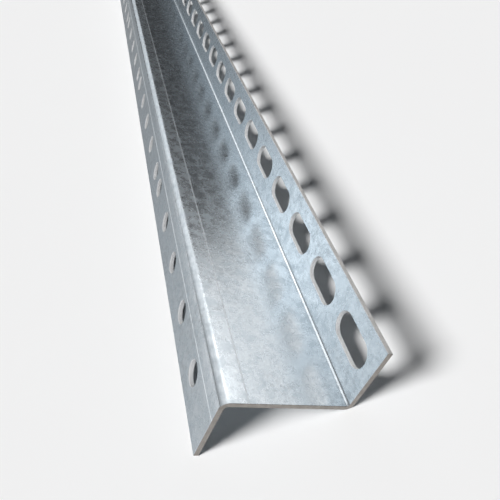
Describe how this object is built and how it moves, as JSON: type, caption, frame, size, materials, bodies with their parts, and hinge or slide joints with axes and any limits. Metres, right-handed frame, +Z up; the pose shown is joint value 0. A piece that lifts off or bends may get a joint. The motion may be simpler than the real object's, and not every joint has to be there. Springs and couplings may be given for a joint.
{
  "type": "slotted z-channel",
  "caption": "Z-section galvanised steel channel with long slots in one flange and grouped round holes in the other, for bolting up frames and supports.",
  "frame": {"origin": "on the floor below the middle of the stock, as it rests on the left flange's tip and the right bend's heel", "axes": "+Y along the stock, away from the end that the picture shows; +X from the flange with round holes to the flange with slots; +Z up"},
  "size_m": [0.0584, 1, 0.0203],
  "materials": {
    "zinc": "hot-dip galvanised sheet, semi-gloss, faint spangle, sheared edges bare"
  },
  "bodies": {
    "root": {"z_channel": "zinc"}
  },
  "joints": []
}
